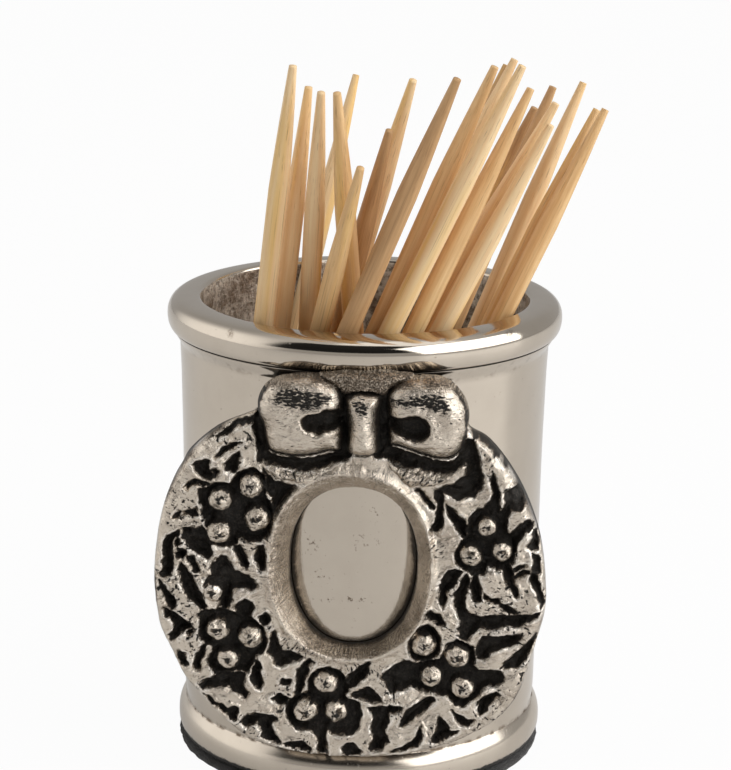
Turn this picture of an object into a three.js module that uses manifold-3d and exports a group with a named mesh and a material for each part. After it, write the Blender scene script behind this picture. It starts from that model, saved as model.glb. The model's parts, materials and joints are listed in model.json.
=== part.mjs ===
// Toothpick holder: a cast metal cup with a beaded rim and a foot band, a flat cast holly wreath with a ribbon bow
// on its front, a felt pad under the foot, and double-pointed wooden toothpicks that lean in the cup.
// Millimetres, +Z up. The origin is the middle of the pad's underside, and the wreath faces -Y.

import * as THREE from 'three';
import { mergeVertices } from 'three/addons/utils/BufferGeometryUtils.js';
import Module from 'manifold-3d';

const wasm = await Module();
wasm.setup();

// Gap between pieces that touch
const seatGap = 0.3;

// Base pad
const padDiameter = 35.4;
const padThickness = 0.8;
const padChamfer = 0.25;

// Cup, from the foot up
const totalHeight = 45;
const footDiameter = 36.1;
const footBandHeight = 3.1;
const footWidestRise = 0.7;
const footRounding = 0.3;
const footBulge = 0.55;
const creaseDiameter = 34.7;
const creaseRise = 0.9;
const waistDiameter = 35;
const wallDiameter = 35.35;
const collarDiameter = 35.9;
const collarRise = 3.6;
const rimDiameter = 38.1;
const rimHeight = 4.6;
const rimUndercutRise = 1.4;
const rimUndercutDiameter = 37.1;
const rimCrownHeight = 1.4;
const rimCrownWidth = 0.5;
const mouthDiameter = 31.6;
const lipRadius = 0.3;
const floorThickness = 3.4;
const floorFillet = 0.7;

// Wreath casting: w is the distance from the cup's axis towards the viewer
const wreathTurn = THREE.MathUtils.degToRad(2.9);
const wreathWidth = 36.1;
const wreathHeight = 34.4;
const wreathCentreHeight = 22.3;
const wreathSquareness = 2.25;
const wreathBackDistance = 16.4;
const groundThickness = 2.7;
const edgeRounding = 1.1;
const leafRelief = 1.1;
const berryDiameter = 2.5;
const berryStandoff = 0.55;
const windowCentreHeight = 23.6;
const windowOffset = 0.2;
const windowWidth = 11.7;
const windowHeight = 15.2;
const windowFlareAcross = 1.7;
const windowFlareUp = 1.4;
const ridgeWidth = 1.3;
const ridgeStandoff = 0.35;
const leafLength = 7.2;
const leafWidth = 3.5;
const leafKeelRise = 0.5;

// Ribbon bow, cast with the wreath
const bowCentreHeight = 38.35;
const bowOffset = 1.05;
const bowLoopLength = 9.5;
const bowLoopHeight = 7.9;
const bowDepth = 4.6;
const bowLoopDistance = 19.3;
const knotWidth = 3;
const knotHeight = 6.2;
const knotDepth = 5.2;
const eyeReach = 3.9;
const eyeLength = 3.7;
const eyeHeight = 2.1;
const tailLength = 7.6;
const tailHeight = 2.6;

// Braze in the two wedges behind the wreath
const brazeStart = 8;
const brazeWidth = 2.1;
const brazeHeight = 24;
const brazeHollowRadius = 1.7;

// Toothpicks
const pickLength = 65;
const pickDiameter = 1.9;
const pickPointDiameter = 0.8;
const pickTaper = 12;

// How far a cutting shape runs past what it cuts
const overrun = 2;

// Counts that set the smoothness of round forms
const cupSides = 60;
const wreathSides = 48;
const bowSides = 16;
const berrySides = 10;
const pickSides = 10;
const arcSteps = 2;

// Sizes worked out from the ones above
const cupBottom = padThickness + seatGap;
const floorHeight = cupBottom + floorThickness;
const footWidest = cupBottom + footWidestRise;
const footTop = cupBottom + footBandHeight;
const rimWidestHeight = totalHeight - rimCrownHeight;
const rimBottom = totalHeight - rimHeight;
const mouthRadius = mouthDiameter / 2;
const groundDistance = wreathBackDistance + groundThickness;
const leafTopDistance = groundDistance + leafRelief;

const nickel = (roughness) => new THREE.MeshStandardMaterial({ color: 0xb7ac9e, roughness, metalness: 1 });

// A closed solid for cutting and joining, from a geometry whose faces close
function solidOf(geometry) {
  const bare = geometry.clone();
  bare.deleteAttribute('normal');
  bare.deleteAttribute('uv');
  const merged = mergeVertices(bare);
  const corners = merged.index.array;
  const kept = [];
  for (let i = 0; i < corners.length; i += 3) {
    const [a, b, c] = corners.slice(i, i + 3);
    if (a !== b && b !== c && c !== a) kept.push(a, b, c);
  }
  const vertProperties = merged.attributes.position.array;
  return new wasm.Manifold(new wasm.Mesh({ numProp: 3, vertProperties, triVerts: new Uint32Array(kept) }));
}

function geometryOf(solid) {
  const mesh = solid.getMesh();
  const geometry = new THREE.BufferGeometry();
  geometry.setAttribute('position', new THREE.BufferAttribute(mesh.vertProperties, 3));
  geometry.setIndex(new THREE.BufferAttribute(mesh.triVerts, 1));
  geometry.computeVertexNormals();
  return geometry;
}

function joinAll(solids) {
  return solids.reduce((joined, next) => joined.add(next));
}

// The cup's outer skin as a path of radius and height, moved out by a clearance
function outerSkin(clearance) {
  const footRadius = footDiameter / 2 + clearance;
  const creaseRadius = creaseDiameter / 2 + clearance;
  const waistRadius = waistDiameter / 2 + clearance;
  const wallRadius = wallDiameter / 2 + clearance;
  const collarRadius = collarDiameter / 2 + clearance;
  const undercutRadius = rimUndercutDiameter / 2 + clearance;
  const rimRadius = rimDiameter / 2 + clearance;
  const collarBottom = rimBottom - collarRise;
  const beadBottom = rimBottom + rimUndercutRise;
  const skin = new THREE.Path();
  skin.moveTo(footRadius - footRounding, cupBottom);
  skin.absellipse(footRadius - footRounding, footWidest, footRounding, footWidestRise, -Math.PI / 2, 0);
  skin.absellipse(footRadius - footBulge, footWidest, footBulge, footTop - footWidest, 0, Math.PI / 2);
  skin.lineTo(creaseRadius, footTop);
  skin.quadraticCurveTo(creaseRadius, footTop + creaseRise / 2, waistRadius, footTop + creaseRise);
  skin.lineTo(wallRadius, collarBottom);
  skin.quadraticCurveTo(wallRadius, (collarBottom + rimBottom) / 2, collarRadius, rimBottom);
  skin.lineTo(undercutRadius, beadBottom);
  skin.absellipse(undercutRadius, rimWidestHeight, rimRadius - undercutRadius, rimWidestHeight - beadBottom,
    -Math.PI / 2, 0);
  skin.absellipse(rimRadius - rimCrownWidth, rimWidestHeight, rimCrownWidth, rimCrownHeight, 0, Math.PI / 2);
  return skin;
}

// The space that the cup takes up, with a clearance all round, for cutting what seats on it
function cupSpace(clearance) {
  const points = outerSkin(clearance).getPoints(arcSteps);
  const top = totalHeight + overrun;
  points.unshift(new THREE.Vector2(0, -overrun), new THREE.Vector2(points[0].x, -overrun));
  points.push(new THREE.Vector2(points.at(-1).x, top), new THREE.Vector2(0, top));
  return solidOf(new THREE.LatheGeometry(points, cupSides));
}

function makeCup() {
  const profile = outerSkin(0);
  profile.lineTo(mouthRadius + lipRadius, totalHeight);
  profile.absarc(mouthRadius + lipRadius, totalHeight - lipRadius, lipRadius, Math.PI / 2, Math.PI);
  profile.lineTo(mouthRadius, floorHeight + floorFillet);
  profile.absarc(mouthRadius - floorFillet, floorHeight + floorFillet, floorFillet, 0, -Math.PI / 2, true);
  profile.lineTo(0, floorHeight);
  const points = profile.getPoints(arcSteps);
  points.unshift(new THREE.Vector2(0, cupBottom));
  const geometry = new THREE.LatheGeometry(points, cupSides).rotateX(Math.PI / 2);
  return new THREE.Mesh(geometry, nickel(0.28));
}

function makeBasePad() {
  const radius = padDiameter / 2;
  const points = [
    new THREE.Vector2(0, 0),
    new THREE.Vector2(radius - padChamfer, 0),
    new THREE.Vector2(radius, padChamfer),
    new THREE.Vector2(radius, padThickness - padChamfer),
    new THREE.Vector2(radius - padChamfer, padThickness),
    new THREE.Vector2(0, padThickness),
  ];
  const felt = new THREE.MeshStandardMaterial({ color: 0x161412, roughness: 0.95, metalness: 0 });
  return new THREE.Mesh(new THREE.LatheGeometry(points, cupSides).rotateX(Math.PI / 2), felt);
}

// A ring of points: a superellipse across the plane that two axes span
function ring(centre, across, along, sides, squareness = 2) {
  const points = [];
  for (let i = 0; i < sides; i += 1) {
    const angle = (i / sides) * Math.PI * 2;
    const c = Math.cos(angle);
    const s = Math.sin(angle);
    const a = Math.sign(c) * Math.abs(c) ** (2 / squareness);
    const b = Math.sign(s) * Math.abs(s) ** (2 / squareness);
    points.push(centre.clone().addScaledVector(across, a).addScaledVector(along, b));
  }
  return points;
}

// A closed skin over rings that follow each other, with a flat cap on the first and the last
function loft(rings) {
  const sides = rings[0].length;
  const positions = rings.flat().flatMap((point) => point.toArray());
  const index = [];
  for (let r = 0; r + 1 < rings.length; r += 1) {
    for (let i = 0; i < sides; i += 1) {
      const a = r * sides + i;
      const b = r * sides + ((i + 1) % sides);
      index.push(a, b, b + sides, a, b + sides, a + sides);
    }
  }
  const last = (rings.length - 1) * sides;
  for (let i = 1; i + 1 < sides; i += 1) {
    index.push(0, i + 1, i, last, last + i, last + i + 1);
  }
  const geometry = new THREE.BufferGeometry();
  geometry.setAttribute('position', new THREE.Float32BufferAttribute(positions, 3));
  geometry.setIndex(index);
  return geometry;
}

// Wreath geometry is made with x across, y up and z towards the viewer
function faceRing(centreX, centreY, distance, width, height, squareness) {
  const centre = new THREE.Vector3(centreX, centreY, distance);
  const across = new THREE.Vector3(width / 2, 0, 0);
  const along = new THREE.Vector3(0, height / 2, 0);
  return ring(centre, across, along, wreathSides, squareness);
}

function plateRing(distance, inset) {
  const width = wreathWidth - 2 * inset;
  const height = wreathHeight - 2 * inset;
  return faceRing(0, wreathCentreHeight, distance, width, height, wreathSquareness);
}

function wreathPlate() {
  return solidOf(loft([
    plateRing(wreathBackDistance, edgeRounding / 2),
    plateRing(wreathBackDistance + edgeRounding / 2, 0),
    plateRing(groundDistance - edgeRounding, 0),
    plateRing(groundDistance - edgeRounding / 3, edgeRounding / 3),
    plateRing(groundDistance, edgeRounding),
  ]));
}

// The space over the plate, inside its rim, that the relief keeps to
function reliefSpace() {
  const top = leafTopDistance + berryStandoff + overrun;
  return solidOf(loft([plateRing(wreathBackDistance + edgeRounding, 0), plateRing(groundDistance, edgeRounding / 3),
    plateRing(leafTopDistance, edgeRounding), plateRing(top, edgeRounding)]));
}

// A ring round the window: flare is 0 at its wall and 1 at its mouth
function windowRing(distance, flare, growth = 0) {
  const width = windowWidth + 2 * (windowFlareAcross * flare + growth);
  const height = windowHeight + 2 * (windowFlareUp * flare + growth);
  return faceRing(windowOffset, windowCentreHeight, distance, width, height);
}

function windowRidge() {
  const rise = leafTopDistance + ridgeStandoff;
  return solidOf(loft([
    windowRing(wreathBackDistance + edgeRounding, 1, ridgeWidth),
    windowRing(rise - ridgeWidth / 2, 1, ridgeWidth),
    windowRing(rise, 1, ridgeWidth / 2),
  ]));
}

function windowCut() {
  const wallDistance = wallDiameter / 2;
  const front = leafTopDistance + ridgeStandoff;
  return solidOf(loft([
    windowRing(wreathBackDistance - overrun, 0),
    windowRing(wallDistance, 0),
    windowRing(front, 1),
    windowRing(front + overrun, 1 + overrun / (front - wallDistance)),
  ]));
}

// Holly leaf: spines joined by hollow edges, pointing along +x from its stalk
function hollyLeaf() {
  const spineShares = [0.24, 0.52, 0.78];
  const reachShares = [0.8, 1, 0.72];
  const hollowShare = 0.5;
  const side = leafWidth / 2;
  const leaf = new THREE.Shape();
  const corners = spineShares.map((share, i) => [share * leafLength, reachShares[i] * side]);
  const rim = [[0, 0], ...corners, [leafLength, 0], ...corners.toReversed().map(([x, y]) => [x, -y]), [0, 0]];
  leaf.moveTo(0, 0);
  for (let i = 1; i < rim.length; i += 1) {
    const [x0, y0] = rim[i - 1];
    const [x1, y1] = rim[i];
    leaf.quadraticCurveTo((x0 + x1) / 2, ((y0 + y1) / 2) * hollowShare, x1, y1);
  }
  return leaf;
}

// Where the leaves lie: stalk across and up, as shares of half the wreath's size, the way they point and their size
const leafPlaceShares = [
  { across: -0.83, up: 0.55, turn: 40, size: 1.1 },
  { across: -0.73, up: 0.57, turn: 20, size: 0.65 },
  { across: -0.93, up: 0.43, turn: -25, size: 0.6 },
  { across: -0.85, up: 0.25, turn: -55, size: 0.7 },
  { across: -0.95, up: 0.02, turn: -60, size: 0.95 },
  { across: -0.76, up: -0.3, turn: -120, size: 0.55 },
  { across: -0.67, up: 0.2, turn: -40, size: 0.75 },
  { across: -0.41, up: -0.74, turn: 165, size: 1 },
  { across: -0.44, up: -0.67, turn: 45, size: 0.65 },
  { across: -0.61, up: -0.77, turn: -20, size: 1 },
  { across: -0.16, up: -0.81, turn: -85, size: 0.45 },
  { across: 0.02, up: -0.65, turn: -110, size: 0.8 },
  { across: 0.07, up: -0.68, turn: -90, size: 0.65 },
  { across: 0.16, up: -0.9, turn: 35, size: 0.95 },
  { across: 0.41, up: -0.89, turn: 60, size: 0.65 },
  { across: 0.51, up: -0.72, turn: -5, size: 0.5 },
  { across: 0.63, up: -0.7, turn: 40, size: 1 },
  { across: 0.61, up: -0.47, turn: 30, size: 0.95 },
  { across: 0.59, up: -0.04, turn: -10, size: 0.95 },
  { across: 0.65, up: 0.1, turn: -30, size: 0.65 },
  { across: 0.88, up: 0.17, turn: -75, size: 0.6 },
  { across: 0.59, up: 0.1, turn: -100, size: 0.9 },
  { across: 0.4, up: 0.4, turn: -45, size: 0.55 },
  { across: 0.45, up: 0.49, turn: -25, size: 0.6 },
  { across: 0.63, up: 0.81, turn: -50, size: 0.9 },
  { across: 0.76, up: 0.35, turn: 40, size: 0.5 },
];

// A gable over a leaf, so that its top rises from both edges to a keel along its middle
function leafGable(depth) {
  const gable = new THREE.Shape();
  gable.moveTo(-leafWidth / 2, 0);
  gable.lineTo(leafWidth / 2, 0);
  gable.lineTo(leafWidth / 2, depth - leafKeelRise);
  gable.lineTo(0, depth);
  gable.lineTo(-leafWidth / 2, depth - leafKeelRise);
  const geometry = new THREE.ExtrudeGeometry(gable, { depth: leafLength, bevelEnabled: false });
  const alongX = new THREE.Matrix4().makeBasis(
    new THREE.Vector3(0, 1, 0),
    new THREE.Vector3(0, 0, 1),
    new THREE.Vector3(1, 0, 0),
  );
  return solidOf(geometry.applyMatrix4(alongX));
}

function wreathLeaves() {
  const depth = leafRelief + edgeRounding;
  const blade = new THREE.ExtrudeGeometry(hollyLeaf(), { depth, bevelEnabled: false, curveSegments: arcSteps });
  const leaf = solidOf(blade).intersect(leafGable(depth));
  return leafPlaceShares.map(({ across, up, turn, size }, i) => {
    const x = (across * wreathWidth) / 2;
    const y = wreathCentreHeight + (up * wreathHeight) / 2;
    const sunk = leafSunkShares[i % leafSunkShares.length] * leafRelief;
    return leaf.scale([size, size, 1]).rotate([0, 0, turn]).translate([x, y, leafTopDistance - depth - sunk]);
  });
}

// How far each leaf in turn lies under the highest ones, as shares of the relief
const leafSunkShares = [0, 0.3, 0.15];

// Where the berries lie, across and up, as shares of half the wreath's size
const berryPlaceShares = [
  [-0.66, 0.46], [-0.5, 0.53], [-0.47, 0.35], [-0.66, 0.26],
  [-0.7, -0.06], [-0.67, -0.27], [-0.5, -0.31], [-0.61, -0.43],
  [-0.11, -0.55], [-0.21, -0.72], [-0.06, -0.72],
  [0.37, -0.31], [0.55, -0.38], [0.43, -0.5], [0.58, -0.55],
  [0.69, 0.35], [0.76, 0.23], [0.62, 0.19],
];

function wreathBerries() {
  const radius = berryDiameter / 2;
  return berryPlaceShares.map(([across, up]) => {
    const berry = new THREE.SphereGeometry(radius, berrySides, berrySides / 2);
    const x = (across * wreathWidth) / 2;
    const y = wreathCentreHeight + (up * wreathHeight) / 2;
    return solidOf(berry.translate(x, y, leafTopDistance + berryStandoff - radius));
  });
}

// One ring of a bow loop, at a share of its length out from the knot
function loopRing(side, lengthShare, heightShare, depthShare, liftShare) {
  const centre = new THREE.Vector3(
    bowOffset + side * lengthShare * bowLoopLength,
    bowCentreHeight + (liftShare * bowLoopHeight) / 2,
    bowLoopDistance,
  );
  const along = new THREE.Vector3(0, (heightShare * bowLoopHeight) / 2, 0);
  const across = new THREE.Vector3(0, 0, (-side * depthShare * bowDepth) / 2);
  return ring(centre, across, along, bowSides, wreathSquareness);
}

// The rings of a loop, from the knot out: how far out, then height, depth and lift
const loopRingShares = [
  [0.1, 0.55, 0.6, -0.1],
  [0.2, 0.68, 0.78, -0.1],
  [0.32, 0.85, 0.92, -0.04],
  [0.5, 1, 1, 0],
  [0.72, 0.99, 0.95, 0],
  [0.88, 0.85, 0.76, 0],
  [0.97, 0.58, 0.5, 0.02],
  [1, 0.25, 0.2, 0.04],
];

function bowLoop(side) {
  const pillow = solidOf(loft(loopRingShares.map((shares) => loopRing(side, ...shares))));
  const eye = new THREE.SphereGeometry(1, bowSides, bowSides / 2);
  eye.scale(eyeLength / 2, eyeHeight / 2, eyeHeight / 2);
  eye.translate(bowOffset + side * eyeReach, bowCentreHeight - eyeHeight / 4, bowLoopDistance + bowDepth / 2);
  return pillow.subtract(solidOf(eye));
}

function bowTail(side) {
  const tail = new THREE.SphereGeometry(1, bowSides, bowSides / 2);
  tail.scale(tailLength / 2, tailHeight / 2, bowDepth / 2);
  tail.rotateZ(-side * wreathTurn);
  const across = bowOffset + (side * (knotWidth + tailLength)) / 2;
  const up = bowCentreHeight - (bowLoopHeight + tailHeight) / 2;
  return solidOf(tail.translate(across, up, groundDistance));
}

// The rings of the knot's band, from the bottom up: how far up its height, then width and depth
const knotRingShares = [
  [0, 0.7, 0.5],
  [0.08, 0.94, 0.85],
  [0.5, 0.92, 1],
  [0.88, 1, 0.92],
  [1, 0.8, 0.6],
];

function bowKnot() {
  const bottom = bowCentreHeight - bowLoopHeight / 2 + edgeRounding / 2;
  return solidOf(loft(knotRingShares.map(([upShare, widthShare, depthShare]) => {
    const centre = new THREE.Vector3(bowOffset, bottom + upShare * knotHeight, bowLoopDistance);
    const across = new THREE.Vector3(0, 0, (depthShare * knotDepth) / 2);
    const along = new THREE.Vector3((widthShare * knotWidth) / 2, 0, 0);
    return ring(centre, across, along, bowSides, wreathSquareness);
  })));
}

function makeWreath() {
  const relief = joinAll([windowRidge(), ...wreathLeaves(), ...wreathBerries()]);
  const ringCasting = wreathPlate().add(relief.intersect(reliefSpace())).subtract(windowCut());
  const bow = joinAll([bowLoop(-1), bowLoop(1), bowTail(-1), bowTail(1), bowKnot()]);
  const casting = ringCasting.add(bow).subtract(cupSpace(seatGap));
  return new THREE.Mesh(geometryOf(casting).rotateX(Math.PI / 2), nickel(0.38));
}

// Braze behind one wing: it fills the wedge between the wreath's flat back and the round wall
function makeBraze(side) {
  const front = wreathBackDistance - seatGap;
  const depth = brazeWidth * 2;
  const block = new THREE.BoxGeometry(brazeWidth, brazeHeight, depth);
  block.translate(side * (brazeStart + brazeWidth / 2), wreathCentreHeight, front - depth / 2);
  const hollow = new THREE.CylinderGeometry(brazeHollowRadius, brazeHollowRadius, brazeHeight + overrun, bowSides);
  const reach = brazeStart + brazeWidth + brazeHollowRadius / 2;
  hollow.translate(side * reach, wreathCentreHeight, front - brazeHollowRadius);
  const braze = solidOf(block).subtract(cupSpace(seatGap)).subtract(solidOf(hollow));
  return new THREE.Mesh(geometryOf(braze).rotateX(Math.PI / 2), nickel(0.6));
}

// How each toothpick leans, as shares: its foot across and back and its crossing of the mouth across and back,
// both of the mouth's radius, and how high its foot rests, of the cup's depth
const pickLeanShares = [
  [-0.86, -0.07, -0.59, -0.69, 0.04],
  [-0.77, 0.05, -0.49, -0.57, 0],
  [-0.45, 0.4, -0.33, -0.56, 0.04],
  [0.1, 0.32, -0.07, -0.67, 0.06],
  [-0.93, -0.04, -0.35, 0.84, 0],
  [-0.65, 0.67, -0.13, -0.49, 0.04],
  [-0.79, 0.47, -0.25, -0.78, 0],
  [-0.65, 0.67, -0.12, -0.33, 0.17],
  [-0.9, -0.25, -0.09, -0.91, 0.15],
  [-0.79, -0.34, 0.09, -0.76, 0.12],
  [-0.74, -0.2, 0.23, -0.14, 0.07],
  [-0.78, -0.52, 0.15, -0.9, 0.17],
  [-0.86, -0.27, 0.17, -0.3, 0.11],
  [-0.72, -0.59, 0.3, -0.81, 0.07],
  [-0.58, 0.7, 0.5, 0.19, 0],
  [-0.39, -0.34, 0.55, -0.46, 0.02],
  [-0.78, -0.27, 0.4, -0.62, 0.08],
  [-0.71, -0.4, 0.46, -0.77, 0.02],
  [-0.23, -0.19, 0.77, -0.02, 0.01],
  [-0.33, -0.32, 0.82, -0.22, 0],
  [-0.32, -0.46, 0.84, -0.37, 0],
];

function makePick(foot, direction, shade) {
  const radius = pickDiameter / 2;
  const point = pickPointDiameter / 2;
  const points = [
    new THREE.Vector2(0, 0),
    new THREE.Vector2(point, 0),
    new THREE.Vector2(radius, pickTaper),
    new THREE.Vector2(radius, pickLength - pickTaper),
    new THREE.Vector2(point, pickLength),
    new THREE.Vector2(0, pickLength),
  ];
  const wood = new THREE.MeshStandardMaterial({ color: shade, roughness: 0.7, metalness: 0 });
  const pick = new THREE.Mesh(new THREE.LatheGeometry(points, pickSides), wood);
  pick.position.copy(foot);
  pick.quaternion.setFromUnitVectors(new THREE.Vector3(0, 1, 0), direction);
  return pick;
}

function named(name, mesh) {
  mesh.name = name;
  return mesh;
}

const holder = new THREE.Group();
holder.add(named('cup', makeCup()));
holder.add(named('base_pad', makeBasePad()));

const front = new THREE.Group();
front.rotation.z = -wreathTurn;
front.add(named('wreath', makeWreath()));
front.add(named('braze_fillet_left', makeBraze(-1)));
front.add(named('braze_fillet_right', makeBraze(1)));
holder.add(front);

// Light, warm, brown and pale wood, and which of them each toothpick is
const woodShades = [0xe6c896, 0xd9b680, 0xc8a073, 0xdcbc8c];
const pickWoods = [0, 3, 0, 1, 3, 2, 1, 0, 2, 1, 2, 0, 3, 1, 2, 2, 3, 0, 3, 1, 1];

pickLeanShares.forEach(([footX, footY, mouthX, mouthY, lift], i) => {
  const depth = totalHeight - floorHeight;
  const footHeight = floorHeight + seatGap + pickPointDiameter / 4 + lift * depth;
  const foot = new THREE.Vector3(footX * mouthRadius, footY * mouthRadius, footHeight);
  const mouth = new THREE.Vector3(mouthX * mouthRadius, mouthY * mouthRadius, totalHeight);
  const direction = mouth.sub(foot).normalize();
  const name = `toothpick_${String(i + 1).padStart(2, '0')}`;
  holder.add(named(name, makePick(foot, direction, woodShades[pickWoods[i]])));
});

export default holder;
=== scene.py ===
"""Looks of the toothpick holder: a cast nickel cup with a beaded rim, a holly wreath with a ribbon bow, and
toothpicks. Shapes are worked out in millimetres in the CAD's frame and written to Blender in metres."""

import json
import math

import bpy
import numpy as np
from mathutils import Matrix, Vector


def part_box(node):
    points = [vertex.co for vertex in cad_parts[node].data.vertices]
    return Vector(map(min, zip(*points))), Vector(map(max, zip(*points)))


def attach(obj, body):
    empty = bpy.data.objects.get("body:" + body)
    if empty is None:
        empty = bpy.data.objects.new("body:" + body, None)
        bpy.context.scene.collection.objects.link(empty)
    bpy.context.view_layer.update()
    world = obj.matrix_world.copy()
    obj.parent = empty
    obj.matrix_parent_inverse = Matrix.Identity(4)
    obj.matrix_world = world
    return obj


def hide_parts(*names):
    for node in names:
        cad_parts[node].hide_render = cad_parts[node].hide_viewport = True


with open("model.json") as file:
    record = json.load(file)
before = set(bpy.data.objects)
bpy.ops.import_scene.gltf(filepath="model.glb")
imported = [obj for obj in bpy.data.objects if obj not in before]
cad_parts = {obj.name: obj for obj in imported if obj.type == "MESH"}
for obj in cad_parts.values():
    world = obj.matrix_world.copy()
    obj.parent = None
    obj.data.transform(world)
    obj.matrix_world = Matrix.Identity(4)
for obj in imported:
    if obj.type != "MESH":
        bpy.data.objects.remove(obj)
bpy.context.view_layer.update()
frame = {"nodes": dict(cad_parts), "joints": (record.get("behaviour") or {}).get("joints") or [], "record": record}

MM = 0.001

# Camera, measured in the photograph
IMAGE_SIZE = (731, 770)
CAMERA_PLACE = (0.17, -233.4, 98.55)
CAMERA_PITCH = math.radians(15.04)
CAMERA_ROLL = math.radians(0.92)
FOCAL_PIXELS = 2473
SENSOR_WIDTH = 36

# Cup
MOUTH_RADIUS = 15.8
CUP_SEGMENTS = 288
SKIN_WAVE = 0.02
CAST_ROUGHNESS = 0.16
# Tables of noise, here and below, give the height, size and seed of each
CAST_LUMPS = ((0.6, 1.3, 11), (0.3, 0.5, 12), (0.35, 4.0, 13))
# Heights where a mark starts, is full, starts to fade and has ended; the last is painted shade under the rim's
# bead
GROOVE_HEIGHTS = (41.72, 41.8, 41.87, 41.93)
CREASE_HEIGHTS = (4.22, 4.34, 4.4, 4.75)
UNDER_RIM_SHADE_HEIGHTS = (40.3, 40.6, 41.2, 41.8)
# Heights where the painted black shade on the foot's underside and the duller foot band end and are full
UNDERSIDE_SHADE_TOP = (1.78, 1.64)
FOOT_TOP = (4.5, 4.1)

# Wreath: its plane is turned about the cup's axis, and a distance here is one from that axis
WREATH_TURN = math.radians(2.9)
WREATH_REACH = 19
WREATH_LOW = 3.8
WREATH_HIGH = 42.6
GRID_STEP = 0.105
BACK_DISTANCE = 16.4
GROUND_DISTANCE = 19.05
OUTLINE_DISTANCE = 19.4
TRACE_DISTANCE = 20.1
LAND_DISTANCE = 20.25
CUP_GAP = 0.12
THINNEST = 0.05
EDGE_ROUNDING = 1.1
EDGE_WARP = 0.14
EDGE_WAVES = (((1, 0.75, 21), (0.6, 0.3, 71)), ((1, 0.75, 22), (0.6, 0.3, 72)))
TOOTH_WAVES = ((1, 0.28, 19), (0.6, 0.5, 20))
BURR = 0.14
LEAF_ROUNDING = 1.7
LEAF_DOME = 0.55
LEAF_WAVES = ((0.2, 1.9, 23), (0.11, 0.9, 24))
HOLLOW_SLOPE = 0.42
BERRY_TOP = 20.75
BERRY_SQUASH = 1.03
BERRY_LUMPS = ((0.2, 0.6, 25), (0.09, 0.3, 26))
BERRY_DENT = 0.1
PIXELS_PER_MM = 10.9
OVAL_SQUARENESS = 2.2
WINDOW_CENTRE = (0.2, 23.4)
WINDOW_HALF = (5.85, 7.6)
WINDOW_STEP = 0.1
CREST_CENTRE = (0.05, 24.0)
CREST_HALF = (7.45, 8.9)
CREST_HEIGHT = 0.3
CREST_WIDTH = 0.4

# Ribbon bow
BOW_TRACE_DISTANCE = 20.6
BOW_TOP_DISTANCE = 19.4
BOW_TOP_ROWS = (378, 415)
BOW_LOW_DISTANCE = GROUND_DISTANCE + 0.2
LOOP_TOP = 21.5
LOOP_ROUNDING = 1.9
KNOT_TOP = 21.8
KNOT_ROUNDING = 1.5
EYE_DEPTH = 1.5
TAIL_TOP = 20.75
TAIL_ROUNDING = 1.2
BRIDGE_LOW_DISTANCE = GROUND_DISTANCE + 0.1
BRIDGE_TOP = 20.6
BRIDGE_RISE_HEIGHTS = (39.4, 40.9)
BRIDGE_CLEAN_HEIGHTS = (39.9, 40.6)
CROWN_HEIGHTS = (40.2, 41.5)
BACK_DRAFT = 0.75
BACK_DRAFT_HEIGHTS = (33, 41)
BACK_LOOK = {"patina": 0.8, "rough": 0.5, "pits": 0.0, "worn": 0.0}

# Base pad: share of its radius and of its thickness, from the bottom up
PAD_ROWS = [(1.005, 0), (1.02, 0.15), (1.022, 0.5), (1.02, 0.85), (1.0, 1.0)]
PAD_SIDES = 240
PAD_ROUGHNESS = 0.1
PAD_LIFT = 0.06

# Toothpicks
PICK_LENGTH = 65
PICK_RADIUS = 0.95
PICK_POINT_RADIUS = 0.36
PICK_FIT = 0.985
PICK_TAPER = 12
PICK_TAPER_RINGS = 16
PICK_RINGS = 90
PICK_SIDES = 28
FLUTE_DEPTH = 0.022
FACET_DEPTH = 0.012
GRAIN_STRETCH = 0.035
# How much shorter than the rest these toothpicks show in the photograph, in millimetres
PICK_SHORTER = {
    "toothpick_02": 0.8, "toothpick_05": 1.7, "toothpick_06": 0.7, "toothpick_07": 1.6, "toothpick_08": 1.2,
    "toothpick_09": 0.6, "toothpick_11": 0.4, "toothpick_12": 0.8, "toothpick_15": 0.4, "toothpick_20": 0.5,
}

FLOOR_HALF = 3.0


# Small helpers


def smoothstep(low, high, x):
    t = np.clip((x - low) / (high - low), 0, 1)
    return t * t * (3 - 2 * t)


def bell(x, middle, width):
    """1 at the middle, falling to 0 on both sides."""
    return np.exp(-((x - middle) / width) ** 2)


def noise(x, y, size, seed):
    """Smooth noise from -1 to 1 over a plane, with features about as wide as size."""
    side = 256
    values = np.random.default_rng(seed).uniform(-1, 1, (side, side))
    gx, gy = x / size, y / size
    ix, iy = np.floor(gx).astype(int), np.floor(gy).astype(int)
    fx, fy = smoothstep(0, 1, gx - ix), smoothstep(0, 1, gy - iy)

    def row(up):
        return values[ix % side, up % side] * (1 - fx) + values[(ix + 1) % side, up % side] * fx

    return row(iy) * (1 - fy) + row(iy + 1) * fy


def waves(x, y, rows):
    """Several noises together, each given as its height, its size and its seed."""
    return sum(height * noise(x, y, size, seed) for height, size, seed in rows)


def smooth_curve(points, steps, closed=False):
    """Points along a Catmull-Rom curve through the given ones."""
    p = np.asarray(points, float)
    if closed:
        p = np.vstack([p[-1], p, p[0], p[1]])
    else:
        p = np.vstack([2 * p[0] - p[1], p, 2 * p[-1] - p[-2]])
    out = []
    for a, b, c, d in zip(p[:-3], p[1:-2], p[2:-1], p[3:]):
        t = (np.arange(steps) / steps)[:, None]
        line = 2 * b + (c - a) * t
        out.append(0.5 * (line + (2 * a - 5 * b + 4 * c - d) * t**2 + (3 * b - a - 3 * c + d) * t**3))
    if not closed:
        out.append(p[-2][None])
    return np.vstack(out)


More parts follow.
